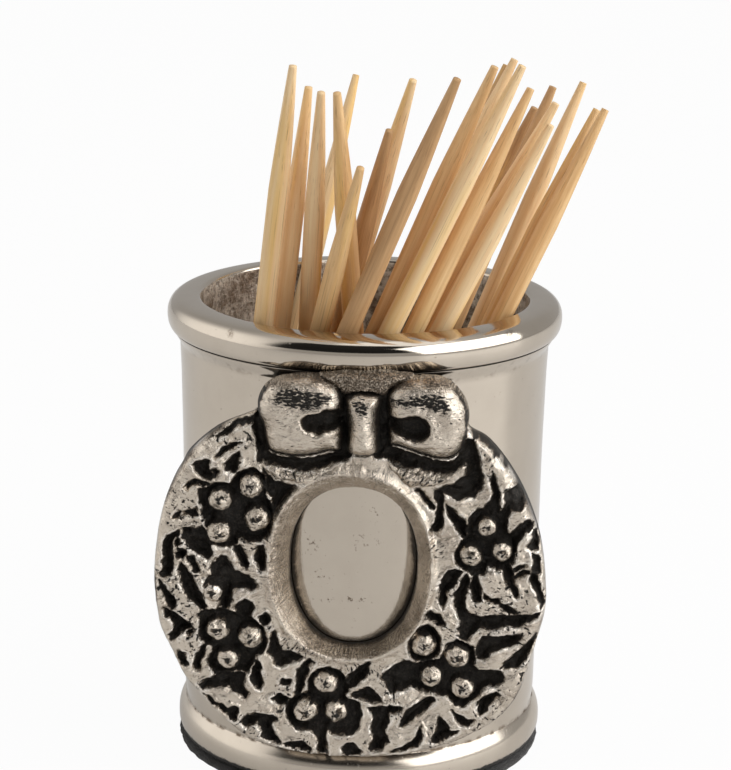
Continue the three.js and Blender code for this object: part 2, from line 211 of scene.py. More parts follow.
def signed_distance(points, corners):
    """Distance of each point from a closed outline, positive inside it."""
    nearest = np.full(len(points), np.inf)
    inside = np.zeros(len(points), bool)
    for a, b in zip(corners, np.roll(corners, -1, axis=0)):
        ab = b - a
        t = np.clip(((points - a) @ ab) / max(ab @ ab, 1e-12), 0, 1)
        nearest = np.minimum(nearest, np.hypot(*(points - a - t[:, None] * ab).T))
        crosses = (a[1] > points[:, 1]) != (b[1] > points[:, 1])
        rise = np.where(b[1] == a[1], 1, b[1] - a[1])
        inside ^= crosses & (points[:, 0] < (b[0] - a[0]) * (points[:, 1] - a[1]) / rise + a[0])
    return np.where(inside, nearest, -nearest)


def distance_inside(points, outlines):
    """Distance inside the outlines taken together, negative outside all of them."""
    return np.maximum.reduce([signed_distance(points, outline) for outline in outlines])


def circle_angles(sides):
    return np.linspace(0, 2 * np.pi, sides, endpoint=False)


def turned_faces(rings, sides):
    """Faces between rings of points, then fans to a first and a last point that follow the rings."""
    faces = []
    for low in range(0, (rings - 1) * sides, sides):
        for s in range(sides):
            t = (s + 1) % sides
            faces.append((low + s, low + t, low + sides + t, low + sides + s))
    end = rings * sides
    for s in range(sides):
        t = (s + 1) % sides
        faces += [(end, t, s), (end + 1, end - sides + s, end - sides + t)]
    return faces


def add_object(name, data):
    thing = bpy.data.objects.new(name, data)
    bpy.context.scene.collection.objects.link(thing)
    return thing


def add_piece(name, points, faces, *materials):
    mesh = bpy.data.meshes.new(name)
    mesh.from_pydata((np.asarray(points) * MM).tolist(), [], faces)
    mesh.validate()
    mesh.update()
    mesh.shade_smooth()
    for material in materials:
        mesh.materials.append(material)
    return add_object(name, mesh)


def point_attribute(piece, name, values):
    values = np.asarray(values, np.float32)
    kind, field = ("FLOAT", "value") if values.ndim == 1 else ("FLOAT_VECTOR", "vector")
    piece.data.attributes.new(name, kind, "POINT").data.foreach_set(field, values.ravel())


def place(piece, body, slot, *nodes):
    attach(piece, body)
    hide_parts(*nodes)


# Camera and the photograph's plane


def make_camera():
    forward = Vector((0, math.cos(CAMERA_PITCH), -math.sin(CAMERA_PITCH)))
    right = Vector((1, 0, 0))
    up = right.cross(forward)
    turned_right = math.cos(CAMERA_ROLL) * right + math.sin(CAMERA_ROLL) * up
    turned_up = math.cos(CAMERA_ROLL) * up - math.sin(CAMERA_ROLL) * right
    data = bpy.data.cameras.new("camera")
    data.sensor_width = SENSOR_WIDTH
    data.lens = FOCAL_PIXELS / max(IMAGE_SIZE) * SENSOR_WIDTH
    data.clip_start, data.clip_end = 0.01, 10
    camera = add_object("camera", data)
    turn = Matrix((turned_right, turned_up, -forward)).transposed()
    camera.matrix_world = Matrix.Translation(Vector(CAMERA_PLACE) * MM) @ turn.to_4x4()
    bpy.context.scene.camera = camera


ACROSS = np.array([math.cos(WREATH_TURN), -math.sin(WREATH_TURN), 0])
OUTWARD = np.array([-math.sin(WREATH_TURN), -math.cos(WREATH_TURN), 0])


def on_wreath_plane(pixels, distance):
    """Where pixels of the photograph lie on the plane at a distance from the cup's axis, across and up."""
    x, y = (np.reshape(pixels, (-1, 2)) - np.array(IMAGE_SIZE) / 2).T
    c, s = math.cos(CAMERA_ROLL), math.sin(CAMERA_ROLL)
    x, y = x * c + y * s, y * c - x * s
    forward = np.array([0, math.cos(CAMERA_PITCH), -math.sin(CAMERA_PITCH)])
    up = np.array([0, math.sin(CAMERA_PITCH), math.cos(CAMERA_PITCH)])
    rays = forward + (x / FOCAL_PIXELS)[:, None] * np.array([1, 0, 0]) - (y / FOCAL_PIXELS)[:, None] * up
    eye = np.array(CAMERA_PLACE)
    hits = eye + ((distance - eye @ OUTWARD) / (rays @ OUTWARD))[:, None] * rays
    return np.stack([hits @ ACROSS, hits[:, 2]], axis=1)


# Traces of the photograph, in its pixels; each outline runs x,y, x,y

WREATH_OUTLINE_PIXELS = [
    154,582, 156,542, 162,510, 170,486, 179,470, 188,455, 214,431, 240,418, 268,410, 360,405, 455,415,
    470,431, 490,445, 515,480, 530,510, 541,545, 546,585, 545,610, 538,637, 515,700, 480,730, 440,746,
    400,755, 350,758, 300,752, 250,738, 215,710, 187,679, 169,646, 159,622,
]

LEFT_LOOP_PIXELS = [
    257,416, 257,402, 262,389, 270,380, 283,375, 300,373, 318,374, 333,381, 342,393, 343,420, 342,450,
    328,453, 310,457, 295,458, 280,456, 269,452, 264,440, 262,428,
]
RIGHT_LOOP_PIXELS = [
    387,394, 396,383, 408,377, 425,375, 440,376, 452,382, 461,393, 467,406, 469,421, 467,437, 462,451,
    452,459, 438,460, 422,456, 408,451, 396,447, 388,444, 387,420,
]
KNOT_PIXELS = [
    345,400, 349,393, 359,389, 372,389, 381,394, 382,403, 379,415, 379,435, 379,452, 371,457, 356,457,
    346,452, 347,428,
]
# Brown metal that joins the loops behind the knot
BRIDGE_PIXELS = [
    318,374, 332,372, 345,370, 366,371, 386,370, 400,372, 414,375, 398,388, 392,402, 391,425, 366,430,
    341,425, 338,402, 332,388,
]
LEFT_TAIL_PIXELS = [
    262,459, 270,463, 286,468, 305,470, 325,466, 337,461, 348,459, 346,464, 335,471, 322,478, 312,484,
    298,486, 283,483, 270,477, 262,468,
]
RIGHT_TAIL_PIXELS = [
    386,458, 398,463, 412,468, 425,472, 437,474, 449,473, 459,468, 467,462, 468,468, 463,476, 453,483,
    440,488, 424,489, 408,487, 396,477, 387,467,
]
# Rough dark bands over the loops and the knot
ROUGH_BAND_PIXELS = [
    [273,398, 282,391, 298,390, 314,392, 330,398, 328,405, 312,409, 292,409, 276,404],
    [390,402, 404,400, 420,396, 436,395, 447,401, 448,413, 436,412, 418,408, 400,407],
    [352,403, 362,402, 367,408, 366,415, 357,413],
]
LEFT_EYE_PIXELS = [
    301,424, 306,417, 316,413, 328,412, 341,414, 341,428, 330,433, 316,434, 305,431,
]
RIGHT_EYE_PIXELS = [
    387,421, 400,419, 412,418, 422,420, 429,425, 431,432, 428,440, 419,444, 409,442, 399,438, 390,431,
]

# Black hollows between the leaves and round the berries
HOLLOW_PIXELS = [
    # beside the knot
    [334,400, 352,400, 352,456, 346,459, 336,453],
    [374,400, 394,400, 392,449, 382,457, 374,456],
    # left side, from the top
    [215,439, 232,425, 252,417, 258,420, 240,427, 226,436],
    [191,465, 198,462, 205,460, 209,463, 210,470, 212,476, 210,479, 202,478, 197,474],
    [238,452, 239,462, 238,469, 234,474, 226,472, 225,466, 230,462, 233,457],
    [214,460, 222,450, 232,444, 242,443, 234,448, 224,454],
    [200,490, 208,487, 214,484, 224,484, 230,486, 234,480, 236,475, 243,471, 256,470, 263,475, 267,485,
     266,495, 270,503, 272,512, 274,522, 272,532, 265,538, 256,541, 246,540, 238,538, 236,545, 228,548,
     212,545, 208,540, 207,530, 206,520, 202,512, 200,505],
    [250,420, 257,413, 263,414, 266,428, 267,445, 270,453, 283,457, 300,459, 320,456, 341,451, 348,453,
     346,459, 336,461, 325,466, 305,470, 285,468, 268,464, 258,462, 256,440],
    [262,465, 268,478, 275,482, 290,486, 303,487, 295,492, 289,500, 284,510, 281,522, 278,527, 274,520,
     271,508, 273,498, 268,492, 265,482],
    [183,530, 193,528, 203,528, 207,533, 208,540, 211,547, 210,556, 206,560, 200,556, 193,551, 187,546,
     182,540],
    [168,536, 174,533, 180,532, 178,537, 174,541, 172,550, 173,560, 172,570, 171,576, 165,577, 160,574,
     163,568, 164,558, 163,547, 165,540],
    [179,570, 181,563, 184,566, 190,574, 196,585, 201,597, 207,606, 205,611, 200,608, 193,602, 186,592,
     181,582],
    [234,548, 240,546, 243,549, 246,556, 250,566, 247,569, 242,565, 237,557],
    [258,548, 262,547, 265,553, 267,561, 266,569, 260,570, 257,564, 255,556],
    [203,584, 208,581, 212,575, 211,566, 216,560, 220,556, 227,558, 233,567, 240,573, 250,579, 255,583,
     258,588, 252,590, 240,589, 233,591, 231,600, 228,608, 222,611, 218,609, 222,600, 223,590, 219,585,
     210,583],
    [234,609, 239,603, 246,601, 251,603, 253,608, 250,614, 248,620, 243,622, 238,616],
    [201,612, 208,610, 220,610, 230,612, 240,617, 248,619, 256,622, 263,628, 267,638, 266,648, 262,653,
     257,655, 254,662, 250,668, 247,673, 240,673, 232,671, 222,673, 214,674, 209,668, 208,660, 212,654,
     214,648, 208,645, 202,642, 199,632, 200,622],
    [159,580, 163,583, 167,590, 172,597, 176,603, 175,609, 170,611, 167,606, 165,600, 162,595, 160,588],
    [163,608, 168,611, 174,613, 181,617, 188,624, 194,630, 185,631, 180,634, 175,640, 171,641, 169,637,
     173,631, 174,626, 170,620, 165,616],
    [176,653, 181,654, 186,658, 189,663, 187,667, 182,667, 178,662],
    [200,648, 204,645, 203,655, 201,663, 199,671, 193,671, 193,665, 196,658],
    [198,684, 205,680, 213,677, 218,673, 228,672, 238,673, 245,675, 243,680, 244,687, 249,695, 246,699,
     241,696, 235,692, 228,688, 220,687, 212,687, 203,688],
    [252,668, 257,660, 261,665, 260,675, 262,685, 260,690, 256,686, 252,678],
    [203,694, 210,698, 218,703, 227,707, 237,708, 238,712, 235,716, 236,722, 232,722, 228,716, 220,710,
     211,703],
    # bottom
    [242,725, 245,719, 252,715, 262,715, 271,717, 277,720, 272,724, 273,730, 277,738, 281,744, 270,741,
     262,736, 264,731, 258,727, 256,722, 247,727],
    [283,744, 292,743, 305,743, 308,748, 310,752, 298,750, 288,747],
    [268,652, 270,648, 271,640, 272,632, 275,630, 277,636, 279,645, 282,651, 290,652, 298,655, 301,659,
     294,661, 287,664, 281,667, 277,665, 273,659],
    [272,700, 278,695, 285,698, 290,700, 286,705, 278,706],
    [280,681, 283,679, 289,682, 288,686, 282,685],
    [296,680, 297,670, 303,664, 310,660, 313,662, 309,668, 305,676, 303,688, 300,697, 296,695],
    [308,684, 311,675, 318,669, 328,667, 337,670, 343,677, 346,682, 348,690, 345,697, 352,700, 358,705,
     361,715, 358,728, 352,733, 340,735, 333,734, 327,730, 325,740, 327,752, 325,758, 319,757, 317,750,
     318,740, 316,732, 308,730, 298,729, 291,724, 287,716, 286,708, 289,702, 297,697, 303,696, 309,693],
    [344,750, 348,744, 352,744, 357,749, 362,753, 358,757, 343,757],
    [368,709, 378,707, 390,706, 403,708, 402,712, 395,712, 390,716, 388,724, 384,733, 388,741, 384,745,
     381,752, 373,753, 371,745, 374,738, 372,730, 373,720, 370,713],
    [350,696, 358,692, 368,689, 373,692, 380,699, 382,702, 370,703, 360,700],
    [345,683, 352,675, 360,667, 368,660, 371,662, 368,672, 362,680, 354,686, 346,690],
    [421,727, 423,730, 421,740, 417,745, 408,748, 398,752, 390,754, 398,748, 408,743, 415,738],
    [431,742, 435,735, 436,727, 438,719, 443,724, 450,730, 458,731, 450,735, 444,738, 438,743],
    [432,700, 434,703, 428,708, 420,713, 412,720, 403,727, 399,727, 402,720, 407,712, 414,706, 424,700],
    # right side, from the top
    [462,449, 468,440, 474,442, 478,452, 480,465, 483,478, 480,490, 476,497, 462,499, 450,497, 442,492,
     438,490, 446,487, 455,483, 463,477, 468,468, 463,465, 457,470, 447,474, 435,474, 425,471, 412,468,
     402,465, 392,462, 383,456, 381,448, 390,447, 400,450, 412,454, 425,458, 441,461, 455,460],
    [470,432, 480,438, 488,443, 500,452, 510,465, 518,478, 522,488, 508,470, 498,458, 486,448, 475,440],
    [436,491, 442,489, 443,497, 442,507, 443,517, 442,525, 438,533, 431,535, 428,532, 432,528, 436,520,
     437,508],
    [416,491, 420,490, 426,497, 432,504, 434,510, 430,508, 423,500],
    [445,504, 451,508, 458,515, 464,522, 468,530, 467,540, 462,538, 456,528, 450,518, 446,510],
    [470,520, 475,514, 482,509, 490,503, 492,492, 490,480, 493,475, 497,485, 501,495, 498,505, 500,513,
     504,510, 506,503, 504,495, 510,491, 518,487, 524,494, 527,503, 520,509, 511,511, 507,518, 505,528,
     507,534, 515,530, 522,524, 530,520, 534,524, 530,531, 522,538, 516,543, 515,552, 513,562, 505,570,
     496,571, 488,566, 484,574, 474,574, 464,570, 458,562, 456,552, 460,543, 468,536],
    [455,570, 462,572, 458,580, 452,588, 447,594, 446,602, 443,608, 440,602, 439,594, 440,585, 444,578,
     449,572],
    [466,575, 470,580, 468,588, 465,597, 464,607, 467,613, 472,617, 485,618, 500,617, 515,617, 530,616,
     540,615, 538,620, 525,623, 520,628, 505,626, 495,630, 480,629, 472,633, 468,640, 462,640, 458,633,
     461,623, 458,615, 453,607, 455,597, 459,588, 462,580],
    [472,578, 477,573, 480,580, 482,590, 480,600, 476,603, 472,597, 470,588],
    [500,562, 510,565, 513,575, 514,585, 519,597, 516,598, 509,588, 505,578],
    [497,605, 505,606, 512,610, 517,615, 510,615, 503,611],
    [531,573, 538,575, 541,585, 543,597, 543,608, 540,610, 538,600, 537,592, 532,585],
    [425,613, 430,612, 438,615, 443,620, 444,625, 438,624, 431,620],
    [412,632, 418,628, 428,627, 436,632, 440,640, 441,650, 436,657, 428,661, 418,661, 411,657, 408,648],
    [483,639, 495,637, 508,636, 520,637, 521,641, 510,646, 500,649, 490,653, 484,660, 478,658, 476,650,
     480,645],
    [444,655, 450,646, 458,641, 466,643, 473,650, 474,660, 473,668, 480,671, 488,672, 500,672, 503,678,
     500,684, 490,688, 480,693, 473,698, 466,706, 455,705, 448,698, 440,696, 432,694, 425,694, 418,690,
     412,685, 400,690, 393,695, 388,690, 385,683, 380,680, 385,673, 392,667, 400,664, 410,664, 418,665,
     428,661, 438,660],
    [512,657, 520,650, 528,642, 534,635, 536,637, 532,648, 527,655, 524,663, 517,668, 508,668, 500,668,
     506,662],
    [479,701, 488,698, 496,693, 500,695, 492,703, 485,710, 480,716, 477,712],
    [452,711, 458,716, 466,720, 474,722, 470,725, 460,724, 454,718],
    # short strokes in the leaves of the left side
    [212,471, 217,470, 219,474, 214,477],
    [184,488, 187,484, 193,481, 200,481, 207,482, 211,485, 204,487, 197,485, 191,486, 188,490],
    [183,515, 188,511, 194,508, 198,514, 190,516],
    [174,518, 177,514, 181,514, 179,517],
    [175,544, 178,539, 181,545, 177,548],
    [174,554, 179,549, 186,552, 184,559, 176,559],
    [186,556, 192,558, 197,566, 201,573, 197,573, 191,565],
    [260,618, 266,613, 270,617, 268,625, 263,625],
    [186,635, 190,630, 193,632, 188,639],
    # short strokes in the leaves of the right side
    [533,532, 538,535, 540,545, 538,551, 531,552, 527,549, 531,540],
    [531,555, 538,557, 541,566, 540,574, 535,575, 531,572, 534,565],
    [513,570, 519,566, 526,566, 523,570, 515,573],
    [513,578, 521,573, 529,571, 530,573, 522,578, 514,580],
    [484,594, 488,596, 490,600, 497,600, 498,604, 493,605, 487,602, 483,599],
    [484,684, 494,680, 503,682, 498,686, 488,688],
    [497,556, 503,554, 506,557, 500,559],
]

# Berries: the middle and radius of each
BERRY_PIXELS = [
    (220, 499, 12.5), (251, 486, 13.5), (257, 519, 13.5), (219, 533, 13), (213, 592, 10.5),
    (218, 629, 12.5), (250, 637, 13), (228, 658, 12), (326, 682, 13), (306, 711, 13), (336, 712, 13),
    (424, 645, 13), (457, 657, 12.5), (431, 677, 12.5), (462, 688, 13), (487, 527, 10.5), (502, 551, 11),
    (471, 556, 12),
]


# Materials


class Nodes:
    """A node tree being built: each call adds one node and returns its output."""

    def __init__(self, tree):
        self.tree = tree

    def node(self, kind, inputs=None, output=0, **settings):
        node = self.tree.nodes.new(kind)
        for key, value in settings.items():
            setattr(node, key, value)
        for key, value in (inputs or {}).items():
            self.feed(node.inputs[key], value)
        return node.outputs[output]

    def feed(self, socket, value):
        if isinstance(value, bpy.types.NodeSocket):
            self.tree.links.new(value, socket)
        else:
            socket.default_value = value

    def math(self, operation, a, b=0.0):
        return self.node("ShaderNodeMath", {0: a, 1: b}, operation=operation)

    def add(self, a, b):
        return self.math("ADD", a, b)

    def minus(self, a, b):
        return self.math("SUBTRACT", a, b)

    def times(self, a, b):
        return self.math("MULTIPLY", a, b)

    def most(self, a, b):
        return self.math("MAXIMUM", a, b)

    def vector_math(self, operation, a, b=(0, 0, 0), output=0):
        return self.node("ShaderNodeVectorMath", {0: a, 1: b}, output, operation=operation)

    def ramp(self, value, low, high, out_low=0.0, out_high=1.0, shape="LINEAR"):
        inputs = {"Value": value, "From Min": low, "From Max": high, "To Min": out_low, "To Max": out_high}
        return self.node("ShaderNodeMapRange", inputs, interpolation_type=shape)

    def soft_ramp(self, value, low, high):
        return self.ramp(value, low, high, shape="SMOOTHSTEP")

    def band(self, value, start, full, fade, end):
        """0 up to start, 1 from full to fade, and 0 again from end."""
        return self.times(self.ramp(value, start, full), self.ramp(value, end, fade))


class Shader(Nodes):
    """The nodes of a new material."""

    def __init__(self, name):
        self.material = bpy.data.materials.new(name)
        self.material.use_nodes = True
        super().__init__(self.material.node_tree)
        self.principled = self.tree.nodes["Principled BSDF"]

    def set(self, **values):
        names = {"color": "Base Color", "specular": "Specular IOR Level", "sheen": "Sheen Weight"}
        for key, value in values.items():
            self.feed(self.principled.inputs[names.get(key, key.title())], value)

    def place_in_mm(self):
        """The object's own coordinates, in millimetres."""
        coordinates = self.node("ShaderNodeTexCoord", output="Object")
        return self.node("ShaderNodeVectorMath", {0: coordinates, 3: 1 / MM}, operation="SCALE")

    def attribute(self, name, output="Fac"):
        return self.node("ShaderNodeAttribute", output=output, attribute_name=name)

    def stretched(self, vector, *shares):
        return self.vector_math("MULTIPLY", vector, shares)

    def noise(self, vector, scale, detail=3.0, roughness=0.5):
        inputs = {"Vector": vector, "Scale": scale, "Detail": detail, "Roughness": roughness}
        return self.node("ShaderNodeTexNoise", inputs)

    def mix(self, factor, a, b):
        return self.node("ShaderNodeMix", {0: factor, 6: a, 7: b}, output=2, data_type="RGBA")

    def bump(self, height, distance, strength=1.0):
        inputs = {"Height": height, "Distance": distance * MM, "Strength": strength}
        return self.node("ShaderNodeBump", inputs)

    def zones(self, here, places):
        """1 in the middle of any of the ellipsoids, falling to 0 at their skins."""
        nearest = None
        for middle, half in places:
            away = self.vector_math("DIVIDE", self.vector_math("SUBTRACT", here, middle), half)
            length = self.vector_math("LENGTH", away, output="Value")
            nearest = length if nearest is None else self.math("MINIMUM", length, nearest)
        return self.ramp(nearest, 1.0, 0.4)


NICKEL = (0.6, 0.535, 0.455, 1)
NICKEL_DULL = (0.48, 0.42, 0.35, 1)
NICKEL_WORN_AND_HIGHLIGHT = (0.88, 0.82, 0.74, 1)
WREATH_BRIGHT = (0.7, 0.625, 0.53, 1)
WREATH_DULL = (0.56, 0.49, 0.41, 1)
PATINA = (0.012, 0.01, 0.0075, 1)
PATINA_LIT = (0.06, 0.048, 0.037, 1)
PATINA_BROWN = (0.15, 0.11, 0.075, 1)
CAST_PALE = (0.72, 0.64, 0.55, 1)
CAST_BROWN = (0.27, 0.2, 0.145, 1)
CAST_DARK = (0.12, 0.085, 0.06, 1)
BRAZE_PALE = (0.26, 0.22, 0.18, 1)
BRAZE_DARK = (0.06, 0.05, 0.04, 1)
FELT_PALE = (0.05, 0.046, 0.042, 1)
FELT_DARK = (0.006, 0.006, 0.006, 1)
WOOD_BAND = (0.88, 0.56, 0.18, 1)
WOOD_PORE = (0.3, 0.15, 0.06, 1)
# The pale and the deep tone of each wood. Beside their own tone, the darker woods are partly painted shade on the
# picks further back, and the lighter woods are brightened as painted light
WOODS = {
    "wood_light": ((1.0, 0.78, 0.48, 1), (0.91, 0.61, 0.32, 1)),
    "wood_warm": ((0.91, 0.64, 0.34, 1), (0.71, 0.42, 0.18, 1)),
    "wood_brown": ((0.7, 0.44, 0.22, 1), (0.45, 0.25, 0.11, 1)),
    "wood_pale": ((0.99, 0.75, 0.45, 1), (0.86, 0.56, 0.28, 1)),
}
FLOOR_COLOR = (0.73, 0.72, 0.71, 1)
WHITE = (1, 1, 1, 1)
WORLD_COLOR = (1, 0.985, 0.965, 1)

# Pitted places on the wall inside the window, and tool scars on the rim: middle, then half sizes
PIT_ZONES = [
    ((1.6, -17.4, 28.2), (0.9, 2, 1.5)), ((0.5, -17.5, 25.9), (2.6, 2, 1.2)),
    ((-4.6, -16.9, 24.6), (0.8, 2, 2)), ((-1.6, -17.4, 19.9), (4.2, 2, 0.7)),
    ((-3.6, -17.1, 22), (1.5, 2, 1.3)),
]
SCAR_ZONES = [((-12.3, -14.6, 44.4), (0.5, 1.2, 0.6)), ((13.4, -13.3, 44.5), (0.6, 1.2, 0.4))]


def polished_nickel():
    shader = Shader("polished_nickel")
    here = shader.place_in_mm()
    height = shader.node("ShaderNodeSeparateXYZ", {0: here}, "Z")
    cloud = shader.noise(here, 0.35, 4)
    dots = shader.noise(here, 2.6, 3, 0.65)
    smudge = shader.noise(here, 1.1, 3, 0.6)
    fine = shader.noise(shader.stretched(here, 6, 6, 0.6), 2.0, 2)
    pit = shader.ramp(shader.add(dots, shader.times(shader.zones(here, PIT_ZONES), 0.1)), 0.69, 0.78)
    scar = shader.times(shader.zones(here, SCAR_ZONES), shader.ramp(dots, 0.4, 0.6))
    groove = shader.band(height, *GROOVE_HEIGHTS)
    # darker brown in the foot's crease
    crease_darkening = shader.times(shader.band(height, *CREASE_HEIGHTS), shader.ramp(smudge, 0.42, 0.62, 0, 0.95))
    # painted shade: smudgy brown on the undercut below the rim's bead
    under_rim_shade = shader.times(shader.band(height, *UNDER_RIM_SHADE_HEIGHTS), shader.ramp(smudge, 0.52, 0.7, 0, 0.3))
    # painted shade: the foot's underside, facing the floor, is black and dull
    underside_shade = shader.ramp(shader.add(height, shader.times(shader.minus(dots, 0.5), 0.5)), *UNDERSIDE_SHADE_TOP)
    color = shader.mix(shader.ramp(cloud, 0.4, 0.7, 0, 0.2), NICKEL, NICKEL_DULL)
    color = shader.mix(shader.most(crease_darkening, under_rim_shade), color, PATINA_BROWN)
    color = shader.mix(shader.times(shader.most(pit, scar), 0.75), color, PATINA_BROWN)
    color = shader.mix(shader.most(groove, underside_shade), color, PATINA)
    marks = shader.most(shader.most(pit, groove), shader.most(crease_darkening, underside_shade))
    roughness = shader.add(shader.ramp(cloud, 0.3, 0.7, 0.08, 0.11), shader.times(marks, 0.35))
    roughness = shader.add(roughness, shader.times(shader.ramp(height, *FOOT_TOP), 0.1))
    relief = shader.minus(shader.times(fine, 0.12), pit)
    shader.set(color=color, metallic=shader.ramp(underside_shade, 0, 1, 1.0, 0.2), roughness=roughness,
               normal=shader.bump(relief, 0.03, 0.5))
    return shader.material


def cast_inside():
    shader = Shader("cast_inside")
    here = shader.place_in_mm()
    blotches = shader.noise(here, 0.42, 5, 0.65)
    grains = shader.noise(here, 1.9, 6, 0.72)
    color = shader.mix(shader.ramp(blotches, 0.34, 0.6), CAST_BROWN, CAST_PALE)
    color = shader.mix(shader.ramp(grains, 0.55, 0.4, 0, 0.75), color, CAST_DARK)
    shader.set(color=color, metallic=0.85, roughness=shader.ramp(grains, 0.3, 0.7, 0.6, 0.36),
               normal=shader.bump(grains, 0.3, 0.8))
    return shader.material


def wreath_nickel():
    shader = Shader("wreath_nickel")
    here = shader.place_in_mm()
    patina, rough, worn = (shader.attribute(name) for name in ("patina", "rough", "worn"))
    strokes = shader.attribute("strokes", "Vector")
    stroke = shader.noise(shader.stretched(strokes, 0.9, 4.6, 1), 1.0, 3, 0.55)
    scratch = shader.noise(shader.stretched(strokes, 2.2, 5.5, 1), 1.0, 3, 0.6)
    grit = shader.noise(here, 3.2, 4, 0.65)
    speck = shader.noise(here, 6.5, 3, 0.7)
    cloud = shader.noise(here, 0.9, 4)
    pit = shader.ramp(shader.add(scratch, shader.times(shader.attribute("pits"), 0.27)), 0.66, 0.71)
    edge = shader.add(patina, shader.times(shader.minus(speck, 0.5), 1.1))
    wear = shader.add(shader.times(rough, 0.15), shader.times(stroke, 0.6))
    wear = shader.add(wear, shader.times(speck, 0.4))
    dark = shader.most(shader.ramp(edge, 0.4, 0.6), pit)
    metal = shader.mix(shader.ramp(cloud, 0.35, 0.7), WREATH_BRIGHT, WREATH_DULL)
    metal = shader.mix(shader.ramp(wear, 0.66, 0.79, 0, 0.8), metal, PATINA_BROWN)
    # paler metal along the hollows' edges: wear, and partly a painted highlight
    metal = shader.mix(worn, metal, NICKEL_WORN_AND_HIGHLIGHT)
    metal = shader.mix(shader.ramp(edge, 0.2, 0.48), metal, PATINA_BROWN)
    lit = shader.times(shader.ramp(speck, 0.5, 0.72), shader.ramp(pit, 1, 0))
    color = shader.mix(dark, metal, shader.mix(lit, PATINA, PATINA_LIT))
    polish = shader.add(shader.ramp(grit, 0.3, 0.7, 0.12, 0.22), shader.times(rough, 0.06))
    relief = shader.add(shader.times(grit, 0.8), shader.times(stroke, 0.7))
    relief = shader.times(relief, shader.ramp(rough, 0, 1, 0.3, 1.0))
    relief = shader.add(relief, shader.times(speck, 0.3))
    relief = shader.minus(relief, shader.times(pit, 0.4))
    shader.set(color=color, metallic=shader.ramp(dark, 0, 1, 1.0, 0.1), specular=0.3,
               roughness=shader.ramp(dark, 0, 1, polish, 0.55), normal=shader.bump(relief, 0.2, 0.8))
    return shader.material


def braze_metal():
    shader = Shader("braze_metal")
    lumps = shader.noise(shader.place_in_mm(), 1.6, 4, 0.6)
    shader.set(color=shader.mix(lumps, BRAZE_DARK, BRAZE_PALE), metallic=0.9,
               roughness=shader.ramp(lumps, 0.3, 0.7, 0.65, 0.4), normal=shader.bump(lumps, 0.2))
    return shader.material


def black_felt():
    shader = Shader("black_felt")
    fibres = shader.noise(shader.place_in_mm(), 6, 5, 0.75)
    shader.set(color=shader.mix(fibres, FELT_DARK, FELT_PALE), metallic=0.0, roughness=0.95, sheen=0.25,
               normal=shader.bump(fibres, 0.2, 0.9))
    return shader.material


def split_wood(name):
    pale, deep = WOODS[name]
    shader = Shader(name)
    grain = shader.attribute("grain", "Vector")
    streaks = shader.noise(grain, 2.4, 5, 0.68)
    pores = shader.noise(shader.stretched(grain, 3.5, 3.5, 1), 2.6, 3, 0.6)
    bands = shader.noise(grain, 0.7, 2)
    color = shader.mix(shader.ramp(streaks, 0.3, 0.72), deep, pale)
    color = shader.mix(shader.ramp(bands, 0.55, 0.68, 0, 0.7), color, WOOD_BAND)
    color = shader.mix(shader.ramp(pores, 0.42, 0.28, 0, 0.6), color, WOOD_PORE)
    shader.set(color=color, metallic=0.0, roughness=0.52, specular=0.35,
               normal=shader.bump(pores, 0.05, 0.6))
    return shader.material


# Cup

# Outer skin as radius and height; each row is one smooth stretch, and rows meet at an edge
CUP_STRETCHES = [
    [(17.3, 1.1), (17.72, 1.14), (17.95, 1.4), (18.06, 1.85), (18.08, 2.35), (18.06, 2.8), (17.99, 3.2),
     (17.85, 3.6), (17.65, 3.98), (17.44, 4.3)],
    [(17.38, 4.36), (17.37, 4.6), (17.41, 5.2), (17.47, 6.5), (17.51, 12.5), (17.54, 20.5), (17.58, 29.5),
     (17.67, 34.5), (17.75, 38), (17.84, 40.1)],
    [(17.84, 40.6), (18.0, 40.95), (18.3, 41.45), (18.46, 41.76)],
    [(18.38, 41.84), (18.56, 41.93), (18.78, 42.1), (18.97, 42.5), (19.06, 43), (19.07, 43.4),
     (19.03, 43.75), (18.95, 44.02), (18.84, 44.25), (18.66, 44.5), (18.4, 44.71), (18.1, 44.86),
     (17.6, 44.96), (16.9, 45), (16.25, 44.99), (15.98, 44.9), (15.84, 44.72)],
]
CUP_INSIDE = [
    (15.8, 44.4), (15.8, 38.5), (15.78, 30.5), (15.76, 20.5), (15.74, 10.5), (15.72, 5.9), (15.5, 5),
    (14.9, 4.62), (14, 4.53), (10, 4.5), (5, 4.5),
]
CUP_OUTSIDE_CURVE = np.vstack([smooth_curve(row, 5) for row in CUP_STRETCHES])
CUP_INSIDE_CURVE = smooth_curve(CUP_INSIDE, 8)
# Heights between which the rough inside of the cup is as cast
CAST_HEIGHTS = ((4.5, 6.5), (44.5, 43.7))


